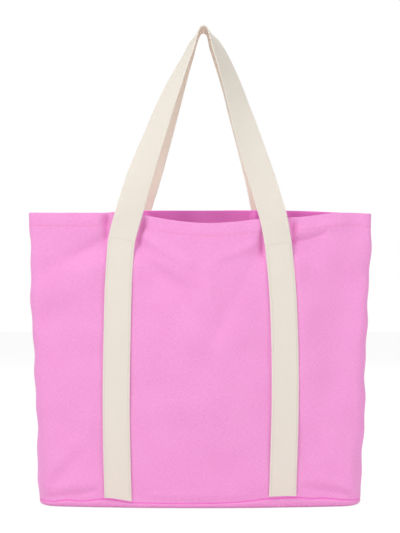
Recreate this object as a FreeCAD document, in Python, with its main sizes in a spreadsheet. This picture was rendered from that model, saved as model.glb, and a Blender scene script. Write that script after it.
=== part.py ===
"""Beach tote bag: a front, a back and a base panel of canvas sewn together, with a webbing strap sewn
up each side of the front and the back, and a free loop of the same webbing as the handle of each.

Millimetres. +Z up, the front panel faces -Y, +X to the right of somebody looking at the front.
The origin is on the floor, under the middle of the base.
"""

import FreeCAD, Part

import math
import os

import Sketcher

# alias, value (millimetres), what it is
DIMENSIONS = [
    ("RimWidth", 487, "outside width at the rim"),
    ("RimDepth", 60, "outside depth of the mouth"),
    ("RimEdgeRadius", 6, "plan radius beside a side seam, at the rim"),
    ("RimHeight", 413, "height of the rim above the floor"),
    ("WaistWidth", 473, "outside width half way up"),
    ("WaistDepth", 88, "outside depth half way up"),
    ("WaistEdgeRadius", 18, "plan radius beside a side seam, half way up"),
    ("BaseWidth", 456, "outside width at the base seam"),
    ("BaseDepth", 104, "outside depth at the base seam"),
    ("BaseEdgeRadius", 36, "plan radius of the two ends of the base"),
    ("SeamHeight", 12, "height of the base seam above the floor"),
    ("ClothThick", 1.0, "thickness of the canvas"),
    ("Allowance", 10, "width of a seam allowance turned inside"),
    ("HemDepth", 21, "depth of the hem turned in at the rim"),
    ("WebWidth", 38, "width of the webbing"),
    ("WebThick", 1.8, "thickness of the webbing"),
    ("FrontSpacing", 230, "between the middles of the two straps of the front"),
    ("BackSpacing", 206, "between the middles of the two straps of the back"),
    ("HandleDrop", 34, "from the rim down to where the webbing comes free"),
    ("HandleRise", 263, "from the rim up to the top of the handle loops"),
    ("FoldRadius", 6, "inside radius of the fold at the top of a handle loop"),
    ("FoldOffset", 5, "how far the fold lies to the right of the middle"),
    ("ThreadWidth", 0.8, "width of a row of stitches"),
    ("ThreadThick", 0.4, "how far a row of stitches stands out"),
    ("StitchInset", 3, "from an edge to the row of stitches along it"),
    ("OverlockWidth", 4, "how far the overlocked edge reaches over a seam allowance"),
    ("LayerGap", 0.3, "clearance between two layers that lie on each other"),
]

# The share of the base seam's height that the round lower edge of the base takes up.
ROUND_SHARE = 0.85

# A free leg of a handle below the fold: share of the rise from the foot to the fold, shares of the way
# in to the fold along X and along Y, and how far the webbing has turned about its length, in degrees.
LEG_STATIONS = [
    (0.00, 0.000, 0.00, 0),
    (0.04, 0.008, 0.00, 0),
    (0.08, 0.034, 0.00, 0),
    (0.12, 0.070, 0.00, 1),
    (0.17, 0.118, 0.04, 7),
    (0.27, 0.214, 0.13, 18),
    (0.39, 0.325, 0.28, 30),
    (0.51, 0.439, 0.46, 40),
    (0.62, 0.547, 0.63, 49),
    (0.74, 0.668, 0.80, 59),
    (0.85, 0.783, 0.93, 71),
    (0.95, 0.903, 1.00, 84),
]
# Where the webbing lies round the fold, as directions from the fold's axis, in degrees.
FOLD_DIRECTIONS = (147, 119, 90, 61, 33)
SECTION_SPACING = 6  # along the webbing, between the sections that its solid is lofted through

doc = FreeCAD.newDocument("beach_bag")
dims = doc.addObject("Spreadsheet::Sheet", "Dims")
for row, (alias, value, note) in enumerate(DIMENSIONS, start=1):
    dims.set(f"A{row}", note)
    dims.set(f"B{row}", str(value))
    dims.setAlias(f"B{row}", alias)
doc.recompute()


def size(alias):
    """A driving dimension, as a number."""
    return float(dims.get(alias))


# A depth is how far a surface lies outside the panels' outer face, as counts of driving dimensions.
# A negative count lies inside.
FACE = {}
LINING = {"ClothThick": -1}
WALL_MIDDLE = {"ClothThick": -0.5}
FACING_OUT = {"ClothThick": -1, "LayerGap": -1}
FACING_IN = {"ClothThick": -2, "LayerGap": -1}
ON_FACE = {"LayerGap": 1}
HEM_THREAD_OUT = {"LayerGap": 1, "ThreadThick": 1}
WEB_OUT = {"LayerGap": 1, "WebThick": 1}
WEB_THREAD_IN = {"LayerGap": 2, "WebThick": 1}
WEB_THREAD_OUT = {"LayerGap": 2, "WebThick": 1, "ThreadThick": 1}
SEAM_THREAD_OUT = {"ClothThick": -1, "StitchInset": -1}
SEAM_THREAD_IN = {"ClothThick": -1, "StitchInset": -1, "ThreadWidth": -1}
ALLOWANCE_IN = {"ClothThick": -1, "Allowance": -1}
OVERLOCK_OUT = {"ClothThick": -1, "Allowance": -1, "OverlockWidth": 1}
OVERLOCK_SLOT = {"ClothThick": -1, "Allowance": -1, "LayerGap": -1}
OVERLOCK_IN = {"ClothThick": -1, "Allowance": -1, "LayerGap": -1, "ThreadThick": -1}

LEVELS = {
    "Base": "Dims.SeamHeight",
    "Waist": "(Dims.SeamHeight + Dims.RimHeight) / 2",
    "Rim": "Dims.RimHeight",
}


def depth_size(depth):
    return sum(count * size(alias) for alias, count in depth.items())


def depth_formula(depth):
    return " + ".join(f"({count}) * Dims.{alias}" for alias, count in depth.items()) or "0"


# Outlines and the solids that are lofted or padded from them


def attach(sketch, body, role, height):
    """Lays a sketch parallel to one of its body's origin planes, at a height above it."""
    plane = next(feature for feature in body.Origin.OriginFeatures if feature.Role == role)
    sketch.AttachmentSupport = [(plane, "")]
    sketch.MapMode = "FlatFace"
    sketch.setExpression("AttachmentOffset.Base.z", height)


def drive(sketch, name, formula, constraint):
    """Adds a dimension to a sketch and ties it to a formula."""
    number = sketch.addConstraint(constraint)
    sketch.renameConstraint(number, name)
    sketch.setExpression(f"Constraints.{name}", formula)


def half_outline(body, name, level, depth, closing, height):
    """The front half of the bag's plan at a level, out to a depth: an end arc, a long arc and an end
    arc, tangent to each other, closed by a line along X at closing times LayerGap."""
    sketch = body.newObject("Sketcher::SketchObject", name)
    attach(sketch, body, "XY_Plane", height)
    half_depth = size(f"{level}Depth") / 2
    end = size(f"{level}EdgeRadius")
    reach = size(f"{level}Width") / 2 - end
    out = depth_size(depth)
    long = (reach**2 + half_depth**2 - end**2) / (2 * (half_depth - end))
    join = math.atan2(half_depth - long, reach)
    close_y = closing * size("LayerGap")
    lift = math.asin(close_y / (end + out))
    close_x = reach + (end + out) * math.cos(lift)

    def arc(x, y, radius, start, stop):
        circle = Part.Circle(FreeCAD.Vector(x, y, 0), FreeCAD.Vector(0, 0, 1), radius)
        return sketch.addGeometry(Part.ArcOfCircle(circle, start, stop), False)

    right = arc(reach, 0, end + out, join, lift)
    front = arc(0, long - half_depth, long + out, -math.pi - join, join)
    left = arc(-reach, 0, end + out, math.pi - lift, -math.pi - join)
    ends = (FreeCAD.Vector(close_x, close_y, 0), FreeCAD.Vector(-close_x, close_y, 0))
    back = sketch.addGeometry(Part.LineSegment(*ends), False)
    for constraint in (
        Sketcher.Constraint("Tangent", front, 2, right, 1),
        Sketcher.Constraint("Tangent", left, 2, front, 1),
        Sketcher.Constraint("Coincident", right, 2, back, 1),
        Sketcher.Constraint("Coincident", back, 2, left, 1),
        Sketcher.Constraint("Horizontal", back),
        Sketcher.Constraint("PointOnObject", right, 3, -1),
        Sketcher.Constraint("PointOnObject", left, 3, -1),
        Sketcher.Constraint("PointOnObject", front, 3, -2),
    ):
        sketch.addConstraint(constraint)
    offset = depth_formula(depth)
    end_term = f"Dims.{level}EdgeRadius"
    depth_term = f"(Dims.{level}Depth / 2)"
    reach_term = f"(Dims.{level}Width / 2 - {end_term})"
    long_term = (
        f"({reach_term}^2 + {depth_term}^2 - {end_term}^2) / (2 * ({depth_term} - {end_term}))"
    )
    closing_term = f"({closing}) * Dims.LayerGap"
    drive(sketch, "Reach", reach_term, Sketcher.Constraint("DistanceX", -1, 1, right, 3, reach))
    drive(sketch, "RightEnd", f"{end_term} + {offset}", Sketcher.Constraint("Radius", right, end + out))
    drive(sketch, "LeftEnd", f"{end_term} + {offset}", Sketcher.Constraint("Radius", left, end + out))
    drive(sketch, "Front", f"{long_term} + {offset}", Sketcher.Constraint("Radius", front, long + out))
    drive(sketch, "Closing", closing_term, Sketcher.Constraint("DistanceY", -1, 1, back, 1, close_y))
    return sketch


def half_form(name, depth, closing):
    """The front half of the bag out to a depth, solid, from the base seam to the rim."""
    body = doc.addObject("PartDesign::Body", name)
    outlines = [
        half_outline(body, f"{name}_{level}", level, depth, closing, height)
        for level, height in LEVELS.items()
    ]
    loft = body.newObject("PartDesign::AdditiveLoft", f"{name}_Loft")
    loft.Profile = outlines[0]
    loft.Sections = outlines[1:]
    return body


def half_plate(name, depth, closing, low, high, rounding=None):
    """A plate of the front half of the base's outline out to a depth, between two heights. rounding
    is the formula of the radius along its lower outside edge."""
    body = doc.addObject("PartDesign::Body", name)
    pad = body.newObject("PartDesign::Pad", f"{name}_Pad")
    pad.Profile = half_outline(body, f"{name}_Outline", "Base", depth, closing, low)
    pad.setExpression("Length", f"({high}) - ({low})")
    if rounding:
        doc.recompute()
        floor = pad.Shape.BoundBox.ZMin
        front = closing * size("LayerGap") - 0.01
        lower = [
            f"Edge{number}"
            for number, edge in enumerate(pad.Shape.Edges, start=1)
            if edge.BoundBox.ZMax < floor + 0.01 and edge.BoundBox.YMin < front
        ]
        fillet = body.newObject("PartDesign::Fillet", f"{name}_Round")
        fillet.Base = (pad, lower)
        fillet.setExpression("Radius", rounding)
    return body


def side_strip(name, far, near, y, low, high):
    """An upright strip beside the left side seam, from one depth in from it to another, between two
    formulas along Y. Its edges keep to the seam's line through the base, the waist and the rim."""
    body = doc.addObject("PartDesign::Body", name)
    sketch = body.newObject("Sketcher::SketchObject", f"{name}_Outline")
    attach(sketch, body, "XZ_Plane", f"-({y[1]})")
    heights = {"Base": low, "Waist": LEVELS["Waist"], "Rim": high}
    rough = {"Base": size("SeamHeight"), "Waist": size("RimHeight") / 2, "Rim": size("RimHeight")}
    corners = [(level, far) for level in heights] + [(level, near) for level in reversed(heights)]
    outs = [size(f"{level}Width") / 2 + depth_size(depth) for level, depth in corners]
    points = [FreeCAD.Vector(-out, rough[level], 0) for out, (level, _) in zip(outs, corners)]
    lines = [
        sketch.addGeometry(Part.LineSegment(point, after), False)
        for point, after in zip(points, points[1:] + points[:1])
    ]
    for line, after in zip(lines, lines[1:] + lines[:1]):
        sketch.addConstraint(Sketcher.Constraint("Coincident", line, 2, after, 1))
    for line, out, (level, depth) in zip(lines, outs, corners):
        out_term = f"Dims.{level}Width / 2 + {depth_formula(depth)}"
        across = Sketcher.Constraint("DistanceX", line, 1, -1, 1, out)
        up = Sketcher.Constraint("DistanceY", -1, 1, line, 1, rough[level])
        drive(sketch, f"Out{line}", out_term, across)
        drive(sketch, f"Up{line}", heights[level], up)
    pad = body.newObject("PartDesign::Pad", f"{name}_Pad")
    pad.Profile = sketch
    pad.setExpression("Length", f"({y[1]}) - ({y[0]})")
    return body


def block(name, x, y, z):
    """A box between two formulas along each axis."""
    box = doc.addObject("Part::Box", name)
    for axis, side, (low, high) in (("x", "Length", x), ("y", "Width", y), ("z", "Height", z)):
        box.setExpression(side, f"({high}) - ({low})")
        box.setExpression(f"Placement.Base.{axis}", low)
    return box


# Booleans and copies


def cut(name, base, tool):
    made = doc.addObject("Part::Cut", name)
    made.Base = base
    made.Tool = tool
    return made


def common(name, base, tool):
    made = doc.addObject("Part::Common", name)
    made.Base = base
    made.Tool = tool
    return made


def fuse(name, *shapes):
    made = doc.addObject("Part::MultiFuse", name)
    made.Shapes = list(shapes)
    return made


def mirror(name, source, normal):
    made = doc.addObject("Part::Mirroring", name)
    made.Source = source
    made.Normal = FreeCAD.Vector(normal)
    return made


LEFT_RIGHT = (1, 0, 0)
FRONT_BACK = (0, 1, 0)


def skin(name, outer, inner):
    """The layer between two depths, over the whole front half."""
    return cut(name, half_form(f"{name}_Outer", outer, -0.5), half_form(f"{name}_Inner", inner, 0.5))


def both_halves(name, half):
    return fuse(name, half, mirror(f"{name}_Back", half, FRONT_BACK))


# Places that several pieces share, as formulas

ALL_X = ("-Dims.RimWidth - Dims.BaseWidth", "Dims.RimWidth + Dims.BaseWidth")
FRONT_Y = ("-Dims.RimWidth - Dims.BaseWidth", "0")
HALF_GAP = "Dims.LayerGap / 2"
PANEL_FLANGE = ("Dims.SeamHeight", "Dims.SeamHeight + Dims.ClothThick")
BASE_FLANGE = ("Dims.SeamHeight - Dims.LayerGap - Dims.ClothThick", "Dims.SeamHeight - Dims.LayerGap")
ON_FLANGE = f"{PANEL_FLANGE[1]} + Dims.LayerGap"
UNDER_FLANGE = f"{BASE_FLANGE[0]} - Dims.LayerGap"
ABOVE_OVERLOCK = f"{ON_FLANGE} + Dims.ThreadThick + Dims.LayerGap"
HEM_EDGE = "Dims.RimHeight - Dims.HemDepth"
BELOW_HEM = f"{HEM_EDGE} - Dims.LayerGap"
FREE_HEIGHT = "Dims.RimHeight - Dims.HandleDrop"
STRAP_Z = ("Dims.SeamHeight + Dims.LayerGap", f"{FREE_HEIGHT} - {HALF_GAP}")


def strap_x(face):
    spacing = f"Dims.{face}Spacing"
    return (f"-({spacing} + Dims.WebWidth) / 2", f"-({spacing} - Dims.WebWidth) / 2")


# Pieces. Each is made at the front or on the left, and mirrored for its other places.


def front_panel():
    """A wall of canvas with its hem turned in at the rim, and a seam allowance turned in along the
    bottom and up each side."""
    wall = skin("Wall", FACE, LINING)
    facing_zone = block("FacingZone", ALL_X, FRONT_Y, (HEM_EDGE, "Dims.RimHeight"))
    facing = common("Facing", skin("FacingLayer", FACING_OUT, FACING_IN), facing_zone)
    fold_zone = block("FoldZone", ALL_X, FRONT_Y, ("Dims.RimHeight - Dims.ClothThick", "Dims.RimHeight"))
    fold = common("Fold", skin("FoldLayer", FACE, FACING_IN), fold_zone)
    flange = cut(
        "Flange",
        half_plate("Flange_Outer", WALL_MIDDLE, -0.5, *PANEL_FLANGE),
        half_plate("Flange_Inner", ALLOWANCE_IN, 0.5, *PANEL_FLANGE),
    )
    strip = side_strip(
        "SideStrip",
        {"Allowance": 1},
        ALLOWANCE_IN,
        (f"-{HALF_GAP} - Dims.ClothThick", f"-{HALF_GAP}"),
        ABOVE_OVERLOCK,
        BELOW_HEM,
    )
    left = common("LeftAllowance", half_form("LeftAllowance_Form", WALL_MIDDLE, 0.5), strip)
    return fuse("FrontPanel", wall, facing, fold, flange, left, mirror("RightAllowance", left, LEFT_RIGHT))


def base_panel():
    """A shallow tray of canvas. Its seam allowance is turned in under the panels' own."""
    rounding = f"{ROUND_SHARE} * Dims.SeamHeight"
    tray = half_plate("Tray", FACE, 0, "0", BASE_FLANGE[1], rounding)
    hollow = half_plate(
        "TrayHollow", LINING, 0.5, "Dims.ClothThick", BASE_FLANGE[0], f"{rounding} - Dims.ClothThick"
    )
    opening = half_plate("TrayOpening", ALLOWANCE_IN, 0.5, BASE_FLANGE[0], BASE_FLANGE[1])
    return both_halves("BasePanel", cut("OpenTray", cut("HollowTray", tray, hollow), opening))


def left_strap(face, layer):
    """The left strap of a face, as if that face were the front."""
    zone = block(f"{face}StrapZone", strap_x(face), FRONT_Y, STRAP_Z)
    return common(f"{face}LeftStrap", layer, zone)


def left_strap_thread(face, layer):
    """One row of stitches: up the strap's outer edge, across its top and down its inner edge."""
    left, right = strap_x(face)
    around = "Dims.StitchInset"
    within = "(Dims.StitchInset + Dims.ThreadWidth)"
    outside = block(
        f"{face}ThreadOutside",
        (f"{left} + {around}", f"{right} - {around}"),
        FRONT_Y,
        (f"{STRAP_Z[0]} + {around}", f"{STRAP_Z[1]} - {around}"),
    )
    inside = block(
        f"{face}ThreadInside",
        (f"{left} + {within}", f"{right} - {within}"),
        FRONT_Y,
        ("0", f"{STRAP_Z[1]} - {within}"),
    )
    return common(f"{face}LeftStrapThread", layer, cut(f"{face}ThreadZone", outside, inside))


def front_hem_thread():
    row = (f"{HEM_EDGE} + Dims.StitchInset", f"{HEM_EDGE} + Dims.StitchInset + Dims.ThreadWidth")
    layer = skin("HemThreadLayer", HEM_THREAD_OUT, ON_FACE)
    return common("FrontHemThread", layer, block("HemRow", ALL_X, FRONT_Y, row))


def left_side_thread():
    """The row of stitches up the left side seam, on the back panel's side of its two allowances."""
    layer = skin("SideThreadLayer", SEAM_THREAD_OUT, SEAM_THREAD_IN)
    face = f"{HALF_GAP} + Dims.ClothThick + Dims.LayerGap"
    zone = block(
        "SideThreadZone",
        ("-Dims.RimWidth - Dims.BaseWidth", "0"),
        (f"-({face}) - Dims.ThreadThick", f"-({face})"),
        (ABOVE_OVERLOCK, BELOW_HEM),
    )
    return mirror("LeftSideThread", common("SideThreadRow", layer, zone), FRONT_BACK)


def left_side_overlock():
    """Thread wrapped round the inner edges of the left side's two allowances, as its outline."""
    face = f"({HALF_GAP} + Dims.ClothThick + Dims.LayerGap)"
    out = f"({face} + Dims.ThreadThick)"
    wrap = side_strip(
        "OverlockWrap", OVERLOCK_OUT, OVERLOCK_IN, (f"-{out}", out), ABOVE_OVERLOCK, BELOW_HEM
    )
    slot = side_strip(
        "OverlockSlot",
        {"Allowance": 1},
        OVERLOCK_SLOT,
        (f"-{face}", face),
        f"{ABOVE_OVERLOCK} - Dims.ClothThick",
        f"{BELOW_HEM} + Dims.ClothThick",
    )
    return cut("LeftSideOverlock", wrap, slot)


def ring(name, outer, inner, low, high):
    """A flat ring round the whole base, between two depths and two heights."""
    half = cut(
        f"{name}_Half",
        half_plate(f"{name}_Outer", outer, 0, low, high),
        half_plate(f"{name}_Inner", inner, 0.5, low, high),
    )
    return both_halves(name, half)


def base_thread():
    """The row of stitches round the base seam, on top of its two allowances."""
    return ring("BaseThread", SEAM_THREAD_OUT, SEAM_THREAD_IN, ON_FLANGE, f"{ON_FLANGE} + Dims.ThreadThick")


def base_overlock():
    """Thread wrapped round the inner edges of the base seam's two allowances, as its outline."""
    low, high = f"{UNDER_FLANGE} - Dims.ThreadThick", f"{ON_FLANGE} + Dims.ThreadThick"
    wrap = ring("BaseOverlockWrap", OVERLOCK_OUT, OVERLOCK_IN, low, high)
    slot = ring("BaseOverlockSlot", {"ClothThick": -1}, OVERLOCK_SLOT, UNDER_FLANGE, ON_FLANGE)
    return cut("BaseOverlock", wrap, slot)


def strap_face(x, z):
    """How far forward the outer face of the left strap's layer of webbing stands, as its Y."""
    probe = Part.makeLine(FreeCAD.Vector(x, -size("RimWidth"), z), FreeCAD.Vector(x, 0, z))
    return min(vertex.Y for vertex in doc.getObject("WebLayer_Outer").Shape.common(probe).Vertexes)


def leg_places(side, foot, top):
    """Middle of the webbing and the direction of its outer edge, from a leg's foot up to its top.
    side is -1 for the left leg and 1 for the right."""
    spans = [top[axis] - foot[axis] for axis in range(3)]
    middles = [
        foot + FreeCAD.Vector(inward * spans[0], back * spans[1], up * spans[2])
        for up, inward, back, _ in LEG_STATIONS
    ]
    web = size("WebWidth")
    inner, outer = (strap_face(abs(foot.x) + way * web / 2, foot.z) for way in (-1, 1))
    slant = math.degrees(math.atan2(outer - inner, web))
    places = []
    for middle, (up, _, _, turn) in zip(middles, LEG_STATIONS):
        angle = math.radians(turn + slant * (1 - up))
        places.append((middle, FreeCAD.Vector(side * math.cos(angle), math.sin(angle), 0)))
    return places


def webbing(places):
    """A length of webbing through places, each the middle of its width and the direction across it.
    The webbing runs in the order of the places, with its outer face to the right of across."""
    half_wide = size("WebWidth") / 2
    half_thick = size("WebThick") / 2
    along = [0.0]
    for (before, _), (after, _) in zip(places, places[1:]):
        along.append(along[-1] + (after - before).Length)
    edges = []
    for way in (-1, 1):
        edge = Part.BSplineCurve()
        points = [middle + across * (way * half_wide) for middle, across in places]
        edge.interpolate(Points=points, Parameters=along)
        edges.append(edge)
    count = round(along[-1] / SECTION_SPACING)
    sections = []
    for number in range(count + 1):
        where = along[-1] * number / count
        near, far = (edge.value(where) for edge in edges)
        forward = edges[0].tangent(where)[0] + edges[1].tangent(where)[0]
        through = forward.cross(far - near).normalize() * half_thick
        corners = [near - through, far - through, far + through, near + through]
        sections.append(Part.makePolygon(corners + corners[:1]))
    return Part.makeLoft(sections, True, True)


def handle(face):
    """The free webbing of a face's handle, as if that face were the front. Both legs start in line
    with their straps, and turn on the way up until their inner edges meet as the fold's near edge."""
    web = size("WebWidth")
    thick = size("WebThick")
    foot_x = size(f"{face}Spacing") / 2
    foot_z = size("RimHeight") - size("HandleDrop") + size("LayerGap") / 2
    foot_y = strap_face(foot_x, foot_z) + thick / 2
    middle_radius = size("FoldRadius") + thick / 2
    fold = FreeCAD.Vector(
        size("FoldOffset"),
        -(web + size("LayerGap")) / 2,
        size("RimHeight") + size("HandleRise") - size("FoldRadius") - thick,
    )
    legs = []
    for side in (-1, 1):
        foot = FreeCAD.Vector(side * foot_x, foot_y, foot_z)
        legs.append(leg_places(side, foot, fold + FreeCAD.Vector(side * middle_radius, 0, 0)))
    bend = []
    for degrees in FOLD_DIRECTIONS:
        angle = math.radians(degrees)
        outward = FreeCAD.Vector(math.cos(angle), 0, math.sin(angle))
        bend.append((fold + outward * middle_radius, FreeCAD.Vector(0, 1, 0)))
    return webbing(legs[0] + bend + legs[1][::-1])


def solid_of(name, shape):
    """A finished piece that no feature describes, placed after its shape is set."""
    made = doc.addObject("Part::Feature", name)
    made.Shape = shape
    made.Placement = FreeCAD.Placement()
    return made


def front_and_back(pieces, node, front):
    pieces[f"front_{node}"] = front
    pieces[f"back_{node}"] = mirror(f"Back_{node}", front, FRONT_BACK)


def left_and_right(pieces, node, left):
    pieces[f"left_{node}"] = left
    pieces[f"right_{node}"] = mirror(f"Right_{node}", left, LEFT_RIGHT)


def all_pieces():
    """Every piece of the bag, by the name of its node."""
    pieces = {}
    front_and_back(pieces, "panel", front_panel())
    front_and_back(pieces, "hem_thread", front_hem_thread())
    pieces["base_panel"] = base_panel()
    web_layer = skin("WebLayer", WEB_OUT, ON_FACE)
    thread_layer = skin("StrapThreadLayer", WEB_THREAD_OUT, WEB_THREAD_IN)
    for face in ("Front", "Back"):
        strap = left_strap(face, web_layer)
        thread = left_strap_thread(face, thread_layer)
        for node, left in (("strap", strap), ("strap_thread", thread)):
            sides = {"left": left, "right": mirror(f"{face}Right_{node}", left, LEFT_RIGHT)}
            for side, piece in sides.items():
                name = f"{face.lower()}_{side}_{node}"
                pieces[name] = mirror(f"Turned_{name}", piece, FRONT_BACK) if face == "Back" else piece
    left_and_right(pieces, "side_thread", left_side_thread())
    left_and_right(pieces, "side_overlock", left_side_overlock())
    pieces["base_thread"] = base_thread()
    pieces["base_overlock"] = base_overlock()
    doc.recompute()
    pieces["front_handle"] = solid_of("FrontHandle", handle("Front"))
    pieces["back_handle"] = mirror("TurnedBackHandle", solid_of("BackHandle", handle("Back")), FRONT_BACK)
    doc.recompute()
    return pieces


def write(pieces):
    """Checks every object of the document, then writes one file for each piece."""
    failed = [item.Label for item in doc.Objects if {"Invalid", "Error"} & set(item.State)]
    if failed:
        raise RuntimeError(f"failed to build: {failed}")
    os.makedirs("parts", exist_ok=True)
    for node, piece in pieces.items():
        shape = piece.Shape
        if shape.isNull() or not shape.isValid() or len(shape.Solids) != 1:
            raise RuntimeError(f"{node} is not one good solid")
        piece.Label = node
        shape.exportStep(f"parts/{node}.step")


write(all_pieces())
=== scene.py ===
"""The beach bag's looks: canvas panels, webbing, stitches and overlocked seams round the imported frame.

Sizes are worked out in millimetres and become metres when a mesh is made. The front faces -Y.
"""

import math

import bpy
import numpy as np
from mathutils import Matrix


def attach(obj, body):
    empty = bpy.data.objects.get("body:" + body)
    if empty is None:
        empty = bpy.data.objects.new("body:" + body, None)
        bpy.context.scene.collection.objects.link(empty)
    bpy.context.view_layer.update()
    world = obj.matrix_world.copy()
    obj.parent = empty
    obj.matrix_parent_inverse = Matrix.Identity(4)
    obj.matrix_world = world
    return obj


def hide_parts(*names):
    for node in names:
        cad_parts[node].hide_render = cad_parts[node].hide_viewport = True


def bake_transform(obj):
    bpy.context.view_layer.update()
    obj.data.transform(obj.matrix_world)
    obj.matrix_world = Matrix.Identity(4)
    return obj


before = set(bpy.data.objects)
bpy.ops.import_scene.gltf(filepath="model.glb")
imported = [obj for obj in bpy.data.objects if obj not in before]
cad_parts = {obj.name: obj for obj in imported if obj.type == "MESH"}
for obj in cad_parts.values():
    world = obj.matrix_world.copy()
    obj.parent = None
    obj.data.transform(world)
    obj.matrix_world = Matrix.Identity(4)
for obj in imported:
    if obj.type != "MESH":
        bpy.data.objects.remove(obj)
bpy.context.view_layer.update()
scene = bpy.context.scene
rng = np.random.default_rng(11)

# The bag's own sizes, as in its CAD document
RIM_Z, SEAM_Z = 413.0, 12.0
LEVEL_WIDTH = (456.0, 473.0, 487.0)  # outside, at the base seam, half way up and at the rim
LEVEL_DEPTH = (104.0, 88.0, 60.0)
LEVEL_END = (36.0, 18.0, 6.0)  # plan radius beside a side seam
CLOTH, LAYER_GAP = 1.0, 0.3
ALLOWANCE = 10.0
HEM, STITCH_INSET = 21.0, 3.0
WEB_WIDE, WEB_THICK = 38.0, 1.8
FREE_Z = 379.0  # the webbing is sewn down below this and free above it
FOLD_X, FOLD_RADIUS, TOP_Z = 5.0, 6.0, 676.0  # the fold at the top of a handle

# Sizes that only the looks have
HINGE_Y, BEND_SPAN = 31.0, 26.0  # where the webbing starts to bend at its joint, and over what height
HEM_ROW_Z = RIM_Z - HEM + STITCH_INSET
SEAM_ROW_IN = 4.5  # from the outside of the bag to the stitches of its side and base seams
OVERLOCK_RADIUS, OVERLOCK_PITCH = 0.22, 2.6

OUT = {"front": -1, "back": 1}  # the way each face looks along Y
# Inner faces take a material with painted light: a deeper pink as painted shade on the canvas, and a warmer,
# brighter cream as painted bounce light on the webbing.
OUTER, INNER_PAINTED_LIGHT, SELVEDGE = range(3)  # places in a piece's list of materials

# ------------------------------------------------------------------ the bag's surface


def bend_through(xs, values):
    """A smooth curve through a few control values, as a function. It stays level beyond them."""
    xs, values = np.array(xs, float), np.array(values, float)
    slopes = np.gradient(values, xs)

    def curve(x):
        x = np.clip(x, xs[0], xs[-1])
        i = np.clip(np.searchsorted(xs, x) - 1, 0, len(xs) - 2)
        span = xs[i + 1] - xs[i]
        t = (x - xs[i]) / span
        return (
            values[i] * (1 + 2 * t) * (1 - t) ** 2
            + values[i + 1] * t**2 * (3 - 2 * t)
            + slopes[i] * span * t * (1 - t) ** 2
            - slopes[i + 1] * span * t**2 * (1 - t)
        )

    return curve


def smooth(a, b, x):
    """0 up to a, 1 from b on and a smooth step between them."""
    t = np.clip((x - a) / (b - a), 0, 1)
    return t * t * (3 - 2 * t)


def hump(x, middle, reach):
    """A smooth hump of height 1 at a place, nearly gone at two reaches from it."""
    return np.exp(-(((x - middle) / reach) ** 2))


def at_level(values, z):
    """A size at a height, on the parabola through its values at the three levels."""
    low, middle, high = values
    t = (z - SEAM_Z) / (RIM_Z - SEAM_Z)
    return low * (2 * t - 1) * (t - 1) + middle * 4 * t * (1 - t) + high * t * (2 * t - 1)


def plan_arcs(z):
    """The front half of the plan at a height: a long arc between two tight ends. Gives the end's radius
    and how far out its middle is, the long arc's radius and how far back its middle is, and its half
    angle."""
    half_wide, half_deep = at_level(LEVEL_WIDTH, z) / 2, at_level(LEVEL_DEPTH, z) / 2
    end = at_level(LEVEL_END, z)
    reach = half_wide - end
    long = (reach**2 + half_deep**2 - end**2) / (2 * (half_deep - end))
    return end, reach, long, long - half_deep, np.arctan2(reach, long - half_deep)


def outline(share, z, inward=0.0):
    """x, y and the outward normal on the front half of the plan. share runs from -1 at the left seam
    to 1 at the right, by length round the plan."""
    end, reach, long, back, turn = plan_arcs(z)
    on_long = long * turn
    length = np.abs(share) * (on_long + end * (np.pi / 2 - turn))
    in_end = length > on_long
    angle = np.where(in_end, turn + (length - on_long) / end, length / long)
    radius = np.where(in_end, end, long) - inward
    x = np.where(in_end, reach, 0) + radius * np.sin(angle)
    y = np.where(in_end, 0, back) - radius * np.cos(angle)
    side = np.where(share < 0, -1.0, 1.0)
    return x * side, y, np.sin(angle) * side, -np.cos(angle)


def share_at(x, z):
    """The share round the plan whose x is the one asked for, on the long arc of a face."""
    end, _, long, _, turn = plan_arcs(z)
    return np.arcsin(x / long) * long / (long * turn + end * (np.pi / 2 - turn))


# Where each face's straps run: their middle line by height, left and right
STRAP_HEIGHTS = (0, 60, 150, 240, 320, 360, 385)
STRAP_LINES = {
    ("front", -1): bend_through(STRAP_HEIGHTS, (-113.5, -115.5, -117, -116, -114, -111.5, -109.5)),
    ("front", 1): bend_through(STRAP_HEIGHTS, (114.5, 116.5, 119, 118.5, 115, 111.5, 109)),
    ("back", -1): bend_through(STRAP_HEIGHTS, (-104, -104, -104, -104, -103, -101, -99)),
    ("back", 1): bend_through(STRAP_HEIGHTS, (104, 104, 104, 104, 103, 101, 100)),
}

# How far each face's rim and base seam stand above or below their true lines, along X
RIM_LINES = {
    "front": bend_through(
        (-243, -200, -125, -95, -70, -35, 12, 50, 85, 115, 145, 175, 200, 243),
        (0.5, 0, -0.5, -1, -5.5, -11.5, -15, -13, -9, -7.5, -6, -2, 0, -1),
    ),
    "back": bend_through((-243, -150, -100, 0, 100, 150, 200, 243), (0, 0.5, 3.5, 4.5, 4.5, 3.5, 1, -1)),
}
SEAM_LINES = {
    "front": bend_through(
        (-228, -208, -183, -166, -148, -134, -96, -50, 0, 55, 97, 135, 155, 169, 194, 215, 228),
        (-4, -5, -1.8, -3.2, -1.2, 0.8, -4, -5, -5, -3, 1.6, 3, 0.6, 1.2, -1.4, -3.2, -3.5),
    ),
    "back": bend_through((-228, -160, -104, -40, 30, 104, 150, 228), (-3, -1, 2, -4, -4.5, 2.5, 0, -3)),
}
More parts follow.
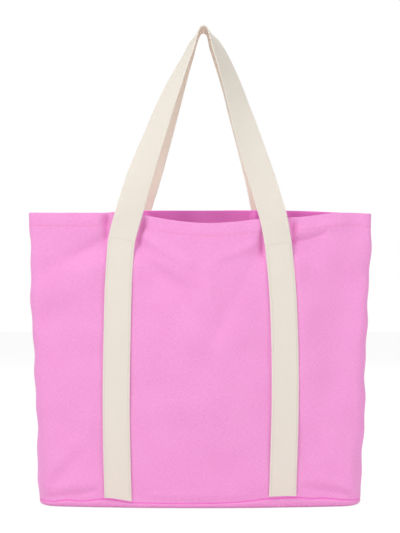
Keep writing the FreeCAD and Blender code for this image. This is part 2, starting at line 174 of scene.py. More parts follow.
# Soft folds on each face: two ends, half width, and height out of the cloth (a hollow is negative)
FOLDS = {
    "front": (
        (-129, 400, -128, 386, 8.5, -11),
        (-147, 402, -134, 376, 8, 2.0),
        (-132, 378, -176, 352, 9, -2.6),
        (-133, 366, -228, 332, 14, -3.4),
        (-133, 338, -228, 286, 18, 3.0),
        (-82, 398, -89, 376, 7.5, -9.0),
        (-86, 370, 20, 252, 17, -4.6),
        (-84, 384, -20, 352, 8, 3.0),
        (-60, 350, 10, 318, 10, 2.6),
        (-90, 330, -60, 250, 16, 3.0),
        (90, 382, 91, 368, 7.5, -9.0),
        (88, 368, 28, 250, 16, -4.0),
        (88, 382, 34, 362, 8, 3.0),
        (10, 340, 22, 270, 9, 1.8),
        (92, 250, 96, 160, 20, -3.6),
        (131, 398, 130, 384, 7.5, -10.0),
        (130, 380, 174, 386, 3.5, -3.6),
        (138, 392, 196, 397, 8, 3.2),
        (138, 370, 226, 306, 14, -4.2),
        (140, 340, 150, 200, 18, 3.6),
        (205, 290, 180, 130, 22, -3.8),
        (-215, 14, -150, 24, 5, -2.6),
        (-215, 27, -150, 38, 8, 2.6),
        (-228, 30, -176, 84, 11, 3.4),
        (-214, 22, -150, 92, 12, -2.4),
        (-214, 250, -190, 110, 24, -4.0),
        (212, 18, 150, 26, 5, -2.2),
        (212, 30, 150, 40, 8, 2.4),
        (215, 30, 176, 120, 13, 3.8),
        (-60, 22, 60, 20, 7, 1.6),
        (-20, 240, 10, 90, 44, 5.0),
    ),
    "back": (
        (-122, 402, -122, 376, 6, -4.6),
        (-80, 400, -80, 372, 6, -4.4),
        (80, 400, 80, 370, 6, -4.6),
        (122, 402, 122, 378, 6, -4.8),
        (82, 370, -14, 262, 16, -4.2),
        (-82, 370, -20, 268, 15, -3.8),
        (84, 384, 30, 358, 8, 2.8),
        (-122, 372, -222, 330, 14, -4.0),
        (-124, 344, -222, 292, 18, 3.4),
        (124, 374, 222, 322, 14, -4.2),
        (128, 340, 150, 210, 18, 3.4),
        (210, 26, 150, 36, 8, 2.4),
        (-210, 24, -150, 34, 8, 2.4),
        (-222, 32, -172, 92, 12, 4.0),
        (220, 40, 178, 120, 13, 3.6),
        (205, 260, 190, 130, 24, -3.8),
        (26, 240, -16, 96, 44, 4.6),
    ),
}
# Faint waves all over each face: wavelength, heading, phase and height
WAVES = {
    face: [
        (rng.uniform(40, 130), rng.uniform(0, np.pi), rng.uniform(0, 2 * np.pi), rng.uniform(0.25, 0.5))
        for _ in range(9)
    ]
    for face in OUT
}
BELLY, BELLY_REACH = 2.0, 70  # the middle of a face stands out this much
CLOTH_FREE = (15.5, 23.0)  # folds are gone this near a strap's middle line, and whole this far from it
GROOVE, GROOVE_OFF, GROOVE_REACH = 1.1, 19.8, 1.7  # the cloth dips along a strap's edges
CALM_EDGE = 0.09  # the share of the half width over which folds fade to the side seam


def seam_wave(side, z):
    """How far a side seam wanders out of its smooth line."""
    wave = 0.8 * np.sin(z / 19 + side) + 0.7 * np.sin(z / 8.3 + 2 * side) + 0.9 * np.sin(z / 41 - side)
    return wave * smooth(SEAM_Z, SEAM_Z + 30, z) * (1 - smooth(RIM_Z - 40, RIM_Z, z))


def side_edge(side, z):
    """How far a side seam stands from the middle of the bag at a height."""
    return at_level(LEVEL_WIDTH, z) / 2 + seam_wave(side, z)


def folds(face, x, z):
    """The height of all of a face's folds together. Each falls to 0.6 of its height at its far end."""
    out = np.zeros(np.broadcast(x, z).shape)
    for x0, z0, x1, z1, half, height in FOLDS[face]:
        run = np.array([x1 - x0, z1 - z0])
        length = np.hypot(*run)
        along = ((x - x0) * run[0] + (z - z0) * run[1]) / length
        across = ((z - z0) * run[0] - (x - x0) * run[1]) / length
        beyond = np.maximum(0, np.maximum(-along, along - length)) / (1.4 * half)
        ridge = np.exp(-((across / half) ** 2) - beyond**2)
        out += height * ridge * (1 - 0.4 * np.clip(along / length, 0, 1))
    return out


def pucker(x, z):
    """The small gathers along the hem's stitches and along the base seam."""
    gathers = 0.22 * np.sin(x * 2 * np.pi / 9 + 3 * np.sin(x / 31)) * hump(z, HEM_ROW_Z, 5)
    gathers += 0.45 * hump(z, RIM_Z - 9, 7) - 0.25 * hump(z, HEM_ROW_Z, 1.6)
    return gathers + 0.35 * np.sin(x * 2 * np.pi / 13 + 2 * np.sin(x / 23)) * hump(z, SEAM_Z, 9)


def relief(face, x, z):
    """How far the cloth stands out of the smooth bag at a place on a face."""
    out = BELLY * hump(x, 0, BELLY_REACH) * smooth(20, 150, z) * (1 - smooth(250, 400, z))
    for length, heading, phase, height in WAVES[face]:
        out = out + height * np.sin((x * np.cos(heading) + z * np.sin(heading)) * 2 * np.pi / length + phase)
    out = out + folds(face, x, z)
    for side in (-1, 1):
        off = np.abs(x - STRAP_LINES[face, side](z))
        out = out * smooth(*CLOTH_FREE, off) - GROOVE * hump(off, GROOVE_OFF, GROOVE_REACH)
    inner = smooth(0.0, CALM_EDGE, 1 - np.abs(x) / (at_level(LEVEL_WIDTH, z) / 2))
    out = (out + pucker(x, z)) * inner + seam_wave(np.sign(x), z) * (1 - inner)
    return out * smooth(SEAM_Z - 1, SEAM_Z + 12, z)


def seam_lift(face, x, z):
    """How far a place near the base seam is raised or lowered by the seam's line."""
    return SEAM_LINES[face](x) * (1 - smooth(SEAM_Z, SEAM_Z + 60, z))


def lift(face, x, z):
    """How far a place on a face is raised or lowered by the lines of the rim and of the base seam."""
    up = smooth(0.35, 1.0, (z - SEAM_Z) / (RIM_Z - SEAM_Z)) ** 1.6
    return RIM_LINES[face](x) * up + seam_lift(face, x, z)


def wall(face, share, z, inward=0.0):
    """A point of a face's cloth, inward from its outer surface."""
    x, y, nx, ny = outline(share, z)
    out = relief(face, x, z) - inward
    points = np.stack(np.broadcast_arrays(x + nx * out, y + ny * out, z), -1)
    points[..., 2] += lift(face, points[..., 0], z)
    points[..., 1] *= -OUT[face]
    return points


def wall_normals(face, share, z):
    """The level outward normals of a face's smooth wall."""
    _, _, nx, ny = outline(share, z)
    return np.stack([nx, -OUT[face] * ny, 0 * nx], -1)


# ------------------------------------------------------------------ meshes


class Build:
    """Points, faces and cloth coordinates (along and across the threads) of one mesh. kinds holds each
    face's place in the piece's list of materials."""

    def __init__(self):
        self.points, self.faces, self.threads, self.kinds = [], [], [], []

    def add(self, points, faces, threads=None, kinds=None):
        start = sum(len(p) for p in self.points)
        points = np.asarray(points, float).reshape(-1, 3)
        self.points.append(points)
        self.faces.extend([tuple(i + start for i in face) for face in faces])
        self.threads.append(np.zeros((len(points), 2)) if threads is None else threads)
        self.kinds.extend([OUTER] * len(faces) if kinds is None else kinds)

    def mark_rows(self, columns, first, last, kind, start=0):
        """Gives the faces between two rows of a grid of points another kind. The grid's faces begin
        at start."""
        for index in range(start + first * (columns - 1), start + last * (columns - 1)):
            self.kinds[index] = kind

    def object(self, name, materials, slot, body=None, nodes=()):
        mesh = bpy.data.meshes.new(name)
        points = np.concatenate(self.points) / 1000
        mesh.from_pydata(points.tolist(), [], self.faces)
        layer = mesh.uv_layers.new(name="threads")
        corners = np.empty(len(mesh.loops), int)
        mesh.loops.foreach_get("vertex_index", corners)
        layer.data.foreach_set("uv", (np.concatenate(self.threads)[corners] / 1000).astype("f").ravel())
        mesh.polygons.foreach_set("use_smooth", [True] * len(mesh.polygons))
        for material in materials:
            mesh.materials.append(material)
        mesh.polygons.foreach_set("material_index", self.kinds)
        mesh.update()
        piece = bpy.data.objects.new(name, mesh)
        scene.collection.objects.link(piece)
        if body:
            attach(piece, body)
        if nodes:
            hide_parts(*nodes)
        return piece


def unit(vectors):
    return vectors / np.maximum(np.linalg.norm(vectors, axis=-1, keepdims=True), 1e-9)


def lengths_along(path):
    """The length of a path up to each of its points."""
    return np.concatenate([[0], np.cumsum(np.linalg.norm(np.diff(path, axis=0), axis=1))])


def sample(values, steps, where):
    """Rows of values known at each of steps, at other places."""
    return np.stack([np.interp(where, steps, values[:, k]) for k in range(values.shape[1])], -1)


def grid_faces(rows, columns, start, flip):
    faces = []
    for r in range(rows - 1):
        for c in range(columns - 1):
            a, b = start + r * columns + c, start + (r + 1) * columns + c
            faces.append((a, b, b + 1, a + 1) if flip else (a, a + 1, b + 1, b))
    return faces


def tube_faces(rings, sides):
    """The faces of a tube of rings of points, with its two ends closed."""
    faces = []
    for r in range(rings - 1):
        for k in range(sides):
            a, b = r * sides + k, r * sides + (k + 1) % sides
            faces.append((a, b, b + sides, a + sides))
    last = (rings - 1) * sides
    return faces + [tuple(range(sides - 1, -1, -1)), tuple(range(last, last + sides))]


def sheet_layers(build, middle, thick, threads, outward):
    """A sheet of cloth about a grid of middle points, with both faces and its cut edges. outward is a
    rough direction for the outer face."""
    rows, columns = middle.shape[:2]
    normal = unit(np.cross(np.gradient(middle, axis=1), np.gradient(middle, axis=0)))
    flip = (normal * outward).sum(-1).mean() < 0
    if flip:
        normal = -normal
    half = np.broadcast_to(np.asarray(thick, float), (rows, columns))[..., None] / 2
    both = np.concatenate([(middle + normal * half).reshape(-1, 3), (middle - normal * half).reshape(-1, 3)])
    count = rows * columns
    faces = grid_faces(rows, columns, 0, flip) + grid_faces(rows, columns, count, not flip)
    # The inner faces take the piece's material with painted shade or painted bounce light.
    kinds = [OUTER] * (len(faces) // 2) + [INNER_PAINTED_LIGHT] * (len(faces) // 2)
    rim = list(range(columns)) + [r * columns + columns - 1 for r in range(1, rows)]
    rim += [(rows - 1) * columns + c for c in range(columns - 2, -1, -1)]
    rim += [r * columns for r in range(rows - 2, 0, -1)]
    for a, b in zip(rim, rim[1:] + rim[:1]):
        faces.append((a, b, b + count, a + count) if flip else (b, a, a + count, b + count))
    kinds += [OUTER] * len(rim)
    build.add(both, faces, np.concatenate([threads.reshape(-1, 2)] * 2), kinds)


# A stitch from end to end: how far along it, how thick and how high, as shares of its length and radius
STITCH_RINGS = (
    (-0.5, 0.25, -0.7),
    (-0.36, 0.85, 0.15),
    (0.0, 1.0, 0.45),
    (0.36, 0.85, 0.15),
    (0.5, 0.25, -0.7),
)
STITCH_SIDES = 6
STITCH_RADIUS, STITCH_SINK = 0.34, 0.12


def stitch_row(build, path, normals, pitch=3.2, length=2.3):
    """Single stitches along a path, each a short rounded thread lying on the cloth."""
    path, normals = np.asarray(path, float), unit(np.asarray(normals, float))
    steps = lengths_along(path)
    count = max(2, int(steps[-1] // pitch))
    middles = (np.arange(count) + 0.5) * steps[-1] / count
    place, out = sample(path, steps, middles), unit(sample(normals, steps, middles))
    ahead = unit(sample(path, steps, middles + 0.5) - sample(path, steps, middles - 0.5))
    across = unit(np.cross(ahead, out))
    faces = tube_faces(len(STITCH_RINGS), STITCH_SIDES)
    angles = [2 * math.pi * k / STITCH_SIDES for k in range(STITCH_SIDES)]
    for p, o, t, c in zip(place, out, ahead, across):
        size = rng.uniform(0.93, 1.07)
        skew = c * rng.uniform(-0.10, 0.10)
        points = []
        for shift, swell, rise in STITCH_RINGS:
            lifted = o * (STITCH_RADIUS * (rise + 0.35) - STITCH_SINK)
            centre = p + (t + skew) * (shift * length * size) + lifted
            for a in angles:
                points.append(centre + (c * math.cos(a) + o * math.sin(a)) * STITCH_RADIUS * swell)
        build.add(points, faces)


def thread_tube(build, path, radius, sides=5):
    """A run of thread along a path."""
    path = np.asarray(path, float)
    ahead = unit(np.gradient(path, axis=0))
    aside = unit(np.cross(ahead, np.where(np.abs(ahead[:, 2:]) < 0.9, [[0, 0, 1.0]], [[1.0, 0, 0]])))
    up = np.cross(aside, ahead)
    angles = (np.arange(sides) * 2 * np.pi / sides)[None, :, None]
    rings = path[:, None] + radius * (aside[:, None] * np.cos(angles) + up[:, None] * np.sin(angles))
    build.add(rings, tube_faces(len(path), sides))


# ------------------------------------------------------------------ materials


class Graph:
    """A tree of shader nodes, with short ways to add to it."""

    def __init__(self, tree):
        self.nodes, self.link = tree.nodes, tree.links.new

    def add(self, kind, **settings):
        made = self.nodes.new(f"ShaderNode{kind}")
        for name, value in settings.items():
            setattr(made, name, value)
        return made

    def maths(self, operation, first, second=None):
        """A Math node of sockets or numbers."""
        made = self.add("Math", operation=operation)
        for index, value in enumerate((first, second)):
            if isinstance(value, (int, float)):
                made.inputs[index].default_value = value
            elif value is not None:
                self.link(value, made.inputs[index])
        return made.outputs[0]

    def noise(self, vector, scale, detail, stretch=(1, 1, 1)):
        mapping = self.add("Mapping")
        mapping.inputs["Scale"].default_value = stretch
        self.link(vector, mapping.inputs["Vector"])
        texture = self.add("TexNoise")
        texture.inputs["Scale"].default_value = scale
        texture.inputs["Detail"].default_value = detail
        self.link(mapping.outputs[0], texture.inputs["Vector"])
        return texture.outputs["Fac"]

    def tint(self, dark, colour, share, target):
        """Gives a colour input the mix of two colours."""
        mix = self.add("Mix", data_type="RGBA")
        mix.inputs["A"].default_value = (*dark, 1)
        mix.inputs["B"].default_value = (*colour, 1)
        self.link(share, mix.inputs["Factor"])
        self.link(mix.outputs["Result"], target)

    def bump(self, height, depth, strength, target):
        made = self.add("Bump")
        made.inputs["Strength"].default_value = strength
        made.inputs["Distance"].default_value = depth
        self.link(height, made.inputs["Height"])
        self.link(made.outputs[0], target)


def new_material(name, roughness, specular, sheen=0.0):
    material = bpy.data.materials.new(name)
    material.use_nodes = True
    graph = Graph(material.node_tree)
    shader = graph.nodes["Principled BSDF"]
    shader.inputs["Roughness"].default_value = roughness
    shader.inputs["Specular IOR Level"].default_value = specular
    shader.inputs["Sheen Weight"].default_value = sheen
    shader.inputs["Sheen Roughness"].default_value = 0.45
    return material, graph, shader


def woven(name, colour, dark, weft, warp, depth, slub, sheen=0.2, ribs=None):
    """Cloth of two sets of threads with slubs and a soft mottle. weft and warp are the spacings of the
    threads in metres, and ribs that of the ribs along a webbing."""
    material, graph, shader = new_material(name, 0.92, 0.25, sheen)
    threads = graph.add("UVMap", uv_map="threads").outputs["UV"]
    split = graph.add("SeparateXYZ")
    graph.link(threads, split.inputs[0])

    def wave(axis, wavelength):
        return graph.maths("SINE", graph.maths("MULTIPLY", split.outputs[axis], 2 * math.pi / wavelength))

    weave = graph.maths("MULTIPLY", wave("X", 2 * warp), wave("Y", 2 * weft))
    if ribs:
        weave = graph.maths("ADD", weave, wave("X", ribs))
    long_slubs = graph.noise(threads, 1400, 1.5, (1, 0.2, 1))
    cross_slubs = graph.noise(threads, 1400, 1.5, (0.2, 1, 1))
    slubs = graph.maths("ADD", long_slubs, cross_slubs)
    height = graph.maths("ADD", weave, graph.maths("MULTIPLY", slubs, 1.2))
    graph.bump(height, depth, 0.6, shader.inputs["Normal"])
    mottle = graph.maths("ADD", graph.noise(threads, 26, 3.0), 0.55)
    shade = graph.maths("MULTIPLY", graph.maths("SUBTRACT", slubs, 1.0), slub)
    shade = graph.maths("ADD", shade, graph.maths("MULTIPLY", weave, 0.10))
    shade = graph.maths("ADD", shade, graph.maths("MULTIPLY", mottle, 0.24))
    ramp = graph.add("MapRange")
    ramp.inputs["From Min"].default_value = -0.25
    ramp.inputs["From Max"].default_value = 0.75
    graph.link(shade, ramp.inputs["Value"])
    graph.tint(dark, colour, ramp.outputs[0], shader.inputs["Base Color"])
    return material


def spun(name, colour):
    """Sewing thread: plain colour with a fine twist."""
    material, graph, shader = new_material(name, 0.6, 0.25, 0.1)
    grain = graph.noise(graph.add("TexCoord").outputs["Object"], 1800, 2.0)
    graph.tint([0.78 * c for c in colour], colour, grain, shader.inputs["Base Color"])
    graph.bump(grain, 0.0001, 1.0, shader.inputs["Normal"])
    return material


CANVAS = {"weft": 0.00062, "warp": 0.00055, "depth": 0.00009, "slub": 1.1}
TAPE = {"weft": 0.0011, "warp": 0.0008, "slub": 0.3}
RIBS = 0.0024
canvas = woven("pink_canvas", (0.955, 0.425, 0.77), (0.845, 0.265, 0.615), **CANVAS)
# A deeper, more saturated pink for the inside faces, the turned-in hem and the allowances: painted shade,
# standing in for the shaded interior lit by light bounced off the pink cloth.
painted_shade_canvas = woven("pink_canvas_painted_shade", (0.99, 0.31, 0.80), (0.97, 0.22, 0.68), **CANVAS)
webbing_cloth = woven(
    "cream_webbing", (0.845, 0.79, 0.71), (0.75, 0.69, 0.60), depth=0.00006, sheen=0.15, ribs=RIBS, **TAPE
)
# A brighter, warmer cream for the webbing's inner face: painted light, standing in for pink light bounced
# into it and lifting its shade.
webbing_painted_bounce_light = woven(
    "cream_webbing_under", (0.93, 0.83, 0.73), (0.85, 0.73, 0.61), depth=0.00005, ribs=RIBS, **TAPE
)
selvedge = woven("cream_webbing_edge", (0.95, 0.91, 0.85), (0.84, 0.77, 0.68), depth=0.00006, **TAPE)
cream_thread = spun("cream_thread", (0.74, 0.68, 0.59))
pink_thread = spun("pink_thread", (0.97, 0.27, 0.50))
overlock_thread = spun("overlock_thread", (0.90, 0.40, 0.70))

# ------------------------------------------------------------------ canvas

COLUMNS, ROWS = 261, 181
SHARES = np.linspace(-0.999, 0.999, COLUMNS)[None, :]
HALF_WALL = CLOTH / 2
FACING = 1.5 * CLOTH + LAYER_GAP  # how far in the middle of the hem's inner layer lies


def profile(*runs):
    """Heights and distances inward of the rows of a sheet, from runs of both in order, and the row that
    each run starts with."""
    zs, inwards = (np.concatenate(values) for values in zip(*runs))
    return zs, inwards, np.cumsum([0] + [len(run[0]) for run in runs])


def allowances(build, face):
    """The seam allowances of a face, turned in up each side of it."""
    z = np.linspace(SEAM_Z + 2, RIM_Z - HEM - 0.5, 80)[:, None]
    across = np.linspace(0, 1, 6)[None, :]
    root_in, middle_y, ripple = 0.8, 0.72, 0.25
    for side in (-1, 1):
        x = side * (side_edge(side, z) - root_in - ALLOWANCE * across)
        y = OUT[face] * (middle_y + ripple * np.sin(z / 11) * across)
        points = np.stack(np.broadcast_arrays(x, y, z + lift(face, x, z)), -1)
        threads = np.stack(np.broadcast_arrays(x, z), -1)
        sheet_layers(build, points, CLOTH, threads, [0, OUT[face], 0])


def panel(face):
    """One face: its bottom allowance, the turn up into the wall, the wall, the fold at the rim and the
    hem turned in, with the side allowances."""
    tuck = 2.0
    foot_z, wall_z, shoulder_z = SEAM_Z + 0.2, SEAM_Z + tuck, RIM_Z - CLOTH
    middle, rise = (HALF_WALL + FACING) / 2, (FACING - HALF_WALL) / 2
    curl, fold = np.linspace(0, np.pi / 2, 5)[:-1], np.linspace(0, np.pi, 7)[1:-1]
    zs, inwards, (_, _, wall_row, fold_row, hem_row, _) = profile(
        (np.full(4, foot_z), np.linspace(ALLOWANCE, tuck, 5)[:-1]),
        (
            foot_z + (wall_z - foot_z) * (1 - np.cos(curl)),
            HALF_WALL + (tuck - HALF_WALL) * (1 - np.sin(curl)),
        ),
        (np.linspace(wall_z, shoulder_z, ROWS), np.full(ROWS, HALF_WALL)),
        (shoulder_z + rise * np.sin(fold), middle - rise * np.cos(fold)),
        (np.linspace(shoulder_z, RIM_Z - HEM, 10), np.full(10, FACING)),
    )
    points = wall(face, SHARES, zs[:, None], inwards[:, None])
    run = lengths_along(np.stack([zs, inwards], -1))
    half_run = 250  # about half the width of the cloth
    threads = np.stack(np.broadcast_arrays(SHARES * half_run, run[:, None]), -1)
    outward = np.zeros_like(points)
    outward[wall_row:fold_row, :, 1] = OUT[face]
    build = Build()
    sheet_layers(build, points, CLOTH, threads, outward)
    # The bottom allowance and the turned-in hem take the inside's painted shade colour.
    build.mark_rows(COLUMNS, 0, wall_row - 1, INNER_PAINTED_LIGHT)
    build.mark_rows(COLUMNS, hem_row - len(fold) // 2, len(zs) - 1, INNER_PAINTED_LIGHT)
    allowances(build, face)
    piece = build.object(f"{face}_panel_cloth", (canvas, painted_shade_canvas), "canvas", "bag", [f"{face}_panel"])


def base():
    """The base: a flat floor whose edge curls up to the seam and is turned in under the panels'."""
    radius, tuck = 0.62 * SEAM_Z, 1.7
    seam_z = SEAM_Z - 0.9
    floor_rows = 13
    turn, curl = np.linspace(0, np.pi / 2, 9), np.linspace(0, np.pi / 2, 5)[1:]
    zs, inwards, (_, turn_row, curl_row, _, _) = profile(
        (np.full(floor_rows, 0.0), np.full(floor_rows, radius)),
        (radius * (1 - np.cos(turn)), radius * (1 - np.sin(turn))),
        (seam_z - (seam_z - radius) * (1 - np.sin(curl)), tuck * (1 - np.cos(curl))),
        (np.full(5, seam_z), np.linspace(tuck, ALLOWANCE, 6)[1:]),
    )
    zs = zs[:, None]
    share = np.ones_like(zs)  # of the way out from the floor's middle line
    share[:turn_row, 0] = np.linspace(0, 1, floor_rows + 1)[:-1]
    reach = LEVEL_WIDTH[0] / 2 - LEVEL_END[0]
    build = Build()
    for face, way in OUT.items():
        x, y, _, _ = outline(SHARES, SEAM_Z, inwards[:, None] + HALF_WALL)
        spine = np.clip(x, -reach, reach)
        x, y = spine + (x - spine) * share, -way * y * share
        z = zs * (1 + SEAM_LINES[face](x) / SEAM_Z) + HALF_WALL
        z = z + 0.5 * np.sin(x / 37) ** 2 * (zs < 0.1) * smooth(0.0, 0.4, 1 - share)
        points = np.stack([x, y, z], -1)
        outward = np.zeros_like(points)
        outward[:turn_row, :, 2] = -1
        start = len(build.kinds)
        sheet_layers(build, points, CLOTH, np.stack([x, y + zs], -1), outward)
        # The turned-in allowance takes the inside's painted shade colour.
        build.mark_rows(COLUMNS, curl_row + 1, len(zs) - 1, INNER_PAINTED_LIGHT, start)
    piece = build.object("base_panel_cloth", (canvas, painted_shade_canvas), "canvas", "bag", ["base_panel"])


# ------------------------------------------------------------------ webbing

# The free legs of each handle by height: their middle line along X, the degrees that their outward
# faces have turned to the side, and how far out they are
LEG_HEIGHTS = (409, 425, 459, 492, 526, 560, 594, 627, 644, 656, 662)
LEG_LINES = {
    ("front", -1): (-100.9, -96.2, -86.0, -75, -62.6, -50.6, -36.8, -22.3, -14.2, -9.0, -6.9),
    ("front", 1): (102.5, 97.6, 87.4, 76.4, 66, 55.4, 45, 33.4, 26.4, 21.0, 18.0),
    ("back", -1): (-92.5, -88, -77, -66.5, -55.5, -44.5, -33.5, -21.5, -14.8, -10, -7.2),
    ("back", 1): (95.5, 92, 85, 76.4, 66.5, 56, 45.5, 32.8, 25.5, 19.6, 16.2),
}
LEG_TURNS = {
    ("front", -1): (0, 4, 14, 29, 39, 48, 58, 70, 75, 80, 84),
    ("front", 1): (0, 1, 7, 15, 27, 38, 48, 59, 65, 73, 80),
    ("back", -1): (0, 4, 14, 27, 38, 48, 57, 68, 73, 79, 84),
    ("back", 1): (0, 2, 9, 18, 29, 39, 49, 60, 66, 73, 80),
}
LEG_DEPTHS = (29.2, 28.7, 27.2, 25.5, 23.8, 22.3, 21.0, 20.0, 19.5, 19.2, 19.2)
FOOT_TURN = 7
STEP = 0.8  # between the webbing's cross sections
# Each cross section from edge to edge: distances off its middle, and the thickness there
HALF_OFFS = (0.28, 0.55, 0.8, 0.93, 0.985, 1)
WEB_OFFS = np.array([*(-off for off in HALF_OFFS[::-1]), 0, *HALF_OFFS]) * WEB_WIDE / 2
THICKS = np.array([0.45, 0.8, 1, 1, 1, 1, 1, 1, 1, 1, 1, 0.8, 0.45]) * WEB_THICK
# The small loops of weft along each edge: how far apart they are, how far they stand out where the
# webbing is free and where it is sewn down, and the heights over which they fade towards the fold
PICOT_PITCH, PICOT_FREE, PICOT_SEWN, PICOT_FADE = 3.2, 1.1, 0.35, (590, 640)
FOLD_ANGLES = np.radians(np.arange(145, 34, -11))  # round the fold, from the left leg to the right


def sewn_line(face, side):
    """Middle points and outward normals of the webbing that is sewn to a face, from the bottom up."""
    z = np.arange(SEAM_Z + 1.0, FREE_Z, 4.0)
    share = share_at(STRAP_LINES[face, side](z), z)
    return wall(face, share, z, -(WEB_THICK + LAYER_GAP) / 2), wall_normals(face, share, z)


def leg_line(face, side, foot):
    """Middle points and outward normals of a free leg, from its foot up to just below the fold."""
    z = np.arange(foot[2] + 8, LEG_HEIGHTS[-1], 5.0)
    heights = (foot[2], *LEG_HEIGHTS)
    x = bend_through(heights, (foot[0], *LEG_LINES[face, side]))(z)
    y = bend_through(heights, (abs(foot[1]), *LEG_DEPTHS))(z) * OUT[face]
    turn = np.radians(bend_through(heights, (FOOT_TURN, *LEG_TURNS[face, side]))(z))
    normals = np.stack([side * np.sin(turn), OUT[face] * np.cos(turn), np.zeros_like(turn)], -1)
    return np.stack([x, y, z], -1), normals


def spread(values, sigma):
    """Rows of values smoothed along their run by a bell of so many rows."""
    reach = int(4 * sigma)
    weights = np.exp(-0.5 * (np.arange(-reach, reach + 1) / sigma) ** 2)
    weights /= weights.sum()
    padded = np.concatenate([np.repeat(values[:1], reach, 0), values, np.repeat(values[-1:], reach, 0)])
    return np.stack([np.convolve(padded[:, k], weights, "valid") for k in range(values.shape[1])], -1)


def webbing_line(face):
    """The middle line of one length of webbing: up the left of a face, over the fold and down the right.
    Gives its points, outward normals, directions across and the length up to each point."""
    runs = []
    for side in (-1, 1):
        sewn, sewn_normals = sewn_line(face, side)
        free, free_normals = leg_line(face, side, sewn[-1])
        runs.append((np.concatenate([sewn, free]), np.concatenate([sewn_normals, free_normals])))
    (left, left_normals), (right, right_normals) = runs
    radius = FOLD_RADIUS + WEB_THICK / 2
    out = np.stack([np.cos(FOLD_ANGLES), 0 * FOLD_ANGLES, np.sin(FOLD_ANGLES)], -1)
    fold_y = OUT[face] * (WEB_WIDE / 2 + 0.25)
    fold = out * radius + [FOLD_X, fold_y, TOP_Z - radius - WEB_THICK / 2]
    points = np.concatenate([left, fold, right[::-1]])
    normals = np.concatenate([left_normals, out, right_normals[::-1]])
    steps = lengths_along(points)
    where = np.arange(0, steps[-1], STEP)
    points = sample(points, steps, where)
    near_joint = hump(points[:, 2:], FREE_Z, BEND_SPAN)
    points = spread(points, 3.0) * (1 - near_joint) + spread(points, 12.0) * near_joint
    normals = unit(spread(sample(normals, steps, where), 5.0))
    ahead = unit(np.gradient(points, axis=0))
    normals = unit(normals - ahead * (normals * ahead).sum(-1, keepdims=True))
    return points, normals, np.cross(normals, ahead), where


def webbing(face):
    """The webbing of one face. Gives its middle points, normals and directions across, for the
    stitches."""
    points, normals, across, where = webbing_line(face)
    height = points[:, 2:]
    free = height > FREE_Z + 4
    picots = np.maximum(0, np.cos(2 * np.pi * where / PICOT_PITCH))[:, None]
    picots = picots * np.where(free, PICOT_FREE, PICOT_SEWN) * (1 - 0.85 * smooth(*PICOT_FADE, height))
    offs = WEB_OFFS + np.sign(WEB_OFFS) * picots * (np.abs(WEB_OFFS) == WEB_WIDE / 2)
    cup = np.where(free, 0.5, 0.0) * (WEB_OFFS / (WEB_WIDE / 2)) ** 2 * np.sin(where / 160 + 1)[:, None]
    grid = points[:, None] + across[:, None] * offs[..., None] + normals[:, None] * cup[..., None]
    grid[..., 2] += seam_lift(face, grid[..., 0], height) - seam_lift(face, points[:, :1], height)
    threads = np.stack(np.broadcast_arrays(WEB_OFFS, where[:, None]), -1)
    build = Build()
    sheet_layers(build, grid, THICKS, threads, normals[:, None])
    strips = len(WEB_OFFS) - 1
    for index in range(2 * (len(points) - 1) * strips):
        if index % strips in (0, strips - 1):
            build.kinds[index] = SELVEDGE
    nodes = [f"{face}_left_strap", f"{face}_right_strap", f"{face}_handle"]
    # The inner faces take the cream with painted bounce light.
    piece = build.object(f"{face}_webbing", (webbing_cloth, webbing_painted_bounce_light, selvedge), "webbing", None, nodes)
    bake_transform(piece)
    return points, normals, across


def strap_threads(face, points, normals, across):
    """The stitches of a face's two straps: up one edge, across below the free webbing, down the other."""
    half = len(points) // 2
    inset = WEB_WIDE / 2 - 2.6
    for name, side, part in (("left", -1, slice(half)), ("right", 1, slice(None, half - 1, -1))):
        p, n, a = points[part], normals[part], across[part]
        top_z = sewn_line(face, side)[0][-1, 2] - 1.0
        keep = (p[:, 2] < top_z) & (p[:, 2] > SEAM_Z + 3)
        p, n, a = p[keep], n[keep], a[keep]
        surface = p + n * (WEB_THICK / 2)
        up, down = surface + a * inset, surface - a * inset
        build = Build()
        stitch_row(build, up, n)
        stitch_row(build, down, n)
        cross = np.linspace(up[-1], down[-1], 20)
        stitch_row(build, cross, np.repeat(n[-1:], len(cross), 0), pitch=3.0, length=2.0)
        node = f"{face}_{name}_strap_thread"
        build.object(f"{node}_stitches", [cream_thread], "cream_thread", "bag", [node])


# ------------------------------------------------------------------ seams


def hem_thread(face):
    """The hem's stitches, outside on the face and inside on the hem."""
    share = np.linspace(-0.997, 0.997, 500)
    inside = share[20:-20]  # this row stops short of the side allowances
    build = Build()
    stitch_row(build, wall(face, share, HEM_ROW_Z), wall_normals(face, share, HEM_ROW_Z))
    stitch_row(
        build, wall(face, inside, HEM_ROW_Z, FACING + HALF_WALL), -wall_normals(face, inside, HEM_ROW_Z)
    )
    build.object(f"{face}_hem_stitches", [pink_thread], "pink_thread", "bag", [f"{face}_hem_thread"])


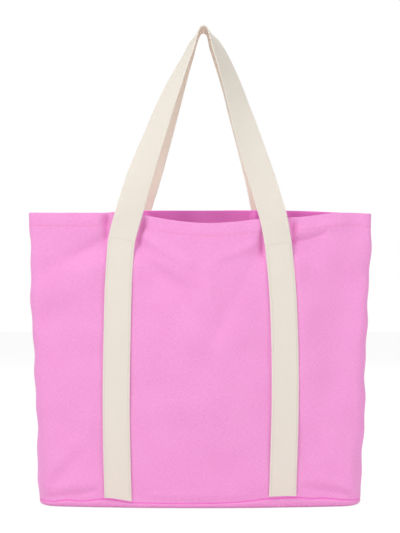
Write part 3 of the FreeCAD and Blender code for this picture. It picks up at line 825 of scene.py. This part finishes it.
def side_seam(side, name):
    """Stitches and overlocking of the two allowances of a side seam."""
    middle_in, half_wide, half_thick = 9.3, 2.3, 1.75  # of the overlocking
    z = np.linspace(SEAM_Z + 3, RIM_Z - HEM - 1, 300)
    edge = side_edge(side, z)
    rise = lift("front", side * edge, z)
    build = Build()
    for way in (-1, 1):
        row = np.stack([side * (edge - SEAM_ROW_IN), np.full_like(z, way * 1.3), z + rise], -1)
        stitch_row(build, row, np.tile([0, way, 0], (len(z), 1)))
    build.object(f"{name}_side_stitches", [pink_thread], "pink_thread", "bag", [f"{name}_side_thread"])
    turns = np.arange(0, (z[-1] - z[0]) / OVERLOCK_PITCH * 2 * np.pi, 2 * np.pi / 10)
    z = z[0] + turns * OVERLOCK_PITCH / (2 * np.pi)
    edge = side_edge(side, z)
    x = side * (edge - middle_in + half_wide * np.cos(turns))
    wrap = np.stack([x, half_thick * np.sin(turns), z + lift("front", side * edge, z)], -1)
    build = Build()
    thread_tube(build, wrap, OVERLOCK_RADIUS)
    node = f"{name}_side_overlock"
    build.object(f"{node}ing", [overlock_thread], "overlock_thread", "bag", [node])


def base_seam():
    """Stitches and overlocking of the base seam, in a ring inside the bag."""
    middle_in, half_wide, half_thick, loops = 8.9, 2.2, 1.7, 190  # of the overlocking
    stitches, overlocking = Build(), Build()
    for face, way in OUT.items():
        x, y, _, _ = outline(np.linspace(-0.995, 0.995, 500), SEAM_Z, SEAM_ROW_IN)
        row = np.stack([x, -way * y, SEAM_Z + 1.2 + SEAM_LINES[face](x)], -1)
        stitch_row(stitches, row, np.tile([0, 0, 1.0], (len(row), 1)))
        turns = np.linspace(0, loops * 2 * np.pi, loops * 10)
        inward = middle_in + half_wide * np.cos(turns)
        x, y, _, _ = outline(np.linspace(-0.998, 0.998, len(turns)), SEAM_Z, inward)
        z = SEAM_Z - 0.15 + half_thick * np.sin(turns) + SEAM_LINES[face](x)
        wrap = np.stack([x, -way * y, z], -1)
        thread_tube(overlocking, wrap, OVERLOCK_RADIUS)
    stitches.object("base_stitches", [pink_thread], "pink_thread", "bag", ["base_thread"])
    overlocking.object("base_overlocking", [overlock_thread], "overlock_thread", "bag", ["base_overlock"])


base()
for face in OUT:
    panel(face)
for face in OUT:
    strap_threads(face, *webbing(face))
    hem_thread(face)
side_seam(-1, "left")
side_seam(1, "right")
base_seam()

# ------------------------------------------------------------------ floor, light and camera


def plain_floor():
    """A white floor that still takes the bag's shadow: the camera sees part of it as a glow."""
    half = 6.0
    corners = [(-half, -half, 0), (half, -half, 0), (half, half, 0), (-half, half, 0)]
    mesh = bpy.data.meshes.new("floor")
    mesh.from_pydata(corners, [], [(0, 1, 2, 3)])
    floor = bpy.data.objects.new("floor", mesh)
    scene.collection.objects.link(floor)
    material, graph, shader = new_material("floor", 0.9, 0.1)
    shader.inputs["Base Color"].default_value = (0.93, 0.93, 0.93, 1)
    glow = graph.add("Emission")
    glow.inputs["Strength"].default_value = 1.09
    mix = graph.add("MixShader")
    seen = graph.add("LightPath").outputs["Is Camera Ray"]
    graph.link(graph.maths("MULTIPLY", seen, 0.78), mix.inputs[0])
    graph.link(shader.outputs[0], mix.inputs[1])
    graph.link(glow.outputs[0], mix.inputs[2])
    graph.link(mix.outputs[0], graph.nodes["Material Output"].inputs["Surface"])
    mesh.materials.append(material)


def white_world(level):
    """Plain light of a strength from all round, which the camera sees as white."""
    world = bpy.data.worlds.new("studio")
    scene.world = world
    world.use_nodes = True
    graph = Graph(world.node_tree)
    ground = graph.nodes["Background"]
    ground.inputs["Color"].default_value = (1, 1, 1, 1)
    seen = graph.add("LightPath").outputs["Is Camera Ray"]
    strength = graph.maths("ADD", graph.maths("MULTIPLY", seen, 1 - level), level)
    graph.link(strength, ground.inputs["Strength"])


def area_light(name, place, aim, wide, power):
    data = bpy.data.lights.new(name, "AREA")
    data.size = wide
    data.energy = power
    lamp = bpy.data.objects.new(name, data)
    scene.collection.objects.link(lamp)
    lamp.location = place
    x, y, z = np.array(aim, float) - np.array(place, float)
    lamp.rotation_euler = (math.atan2(math.hypot(x, y), -z), 0, math.atan2(y, x) - math.pi / 2)


CAMERA_DISTANCE, CAMERA_HEIGHT, FIELD_HEIGHT = 2.3, 0.337, 0.7583
SENSOR = 36
camera_data = bpy.data.cameras.new("camera")
camera_data.sensor_width = SENSOR
camera_data.lens = SENSOR * CAMERA_DISTANCE / FIELD_HEIGHT
camera = bpy.data.objects.new("camera", camera_data)
scene.collection.objects.link(camera)
camera.location = (0, -CAMERA_DISTANCE, CAMERA_HEIGHT)
camera.rotation_euler = (math.pi / 2, 0, 0)
scene.camera = camera

plain_floor()
white_world(0.53)
area_light("key", (-1.05, -1.05, 2.35), (0, 0, 0.3), 0.9, 29)
area_light("fill", (1.8, -1.6, 0.9), (0, 0, 0.3), 1.6, 9)
area_light("back", (0.7, 2.3, 2.0), (0, 0, 0.3), 1.4, 24)
area_light("low", (0, -2.4, 0.25), (0, 0, 0.05), 0.5, 3.5)
scene.view_settings.view_transform = "Standard"
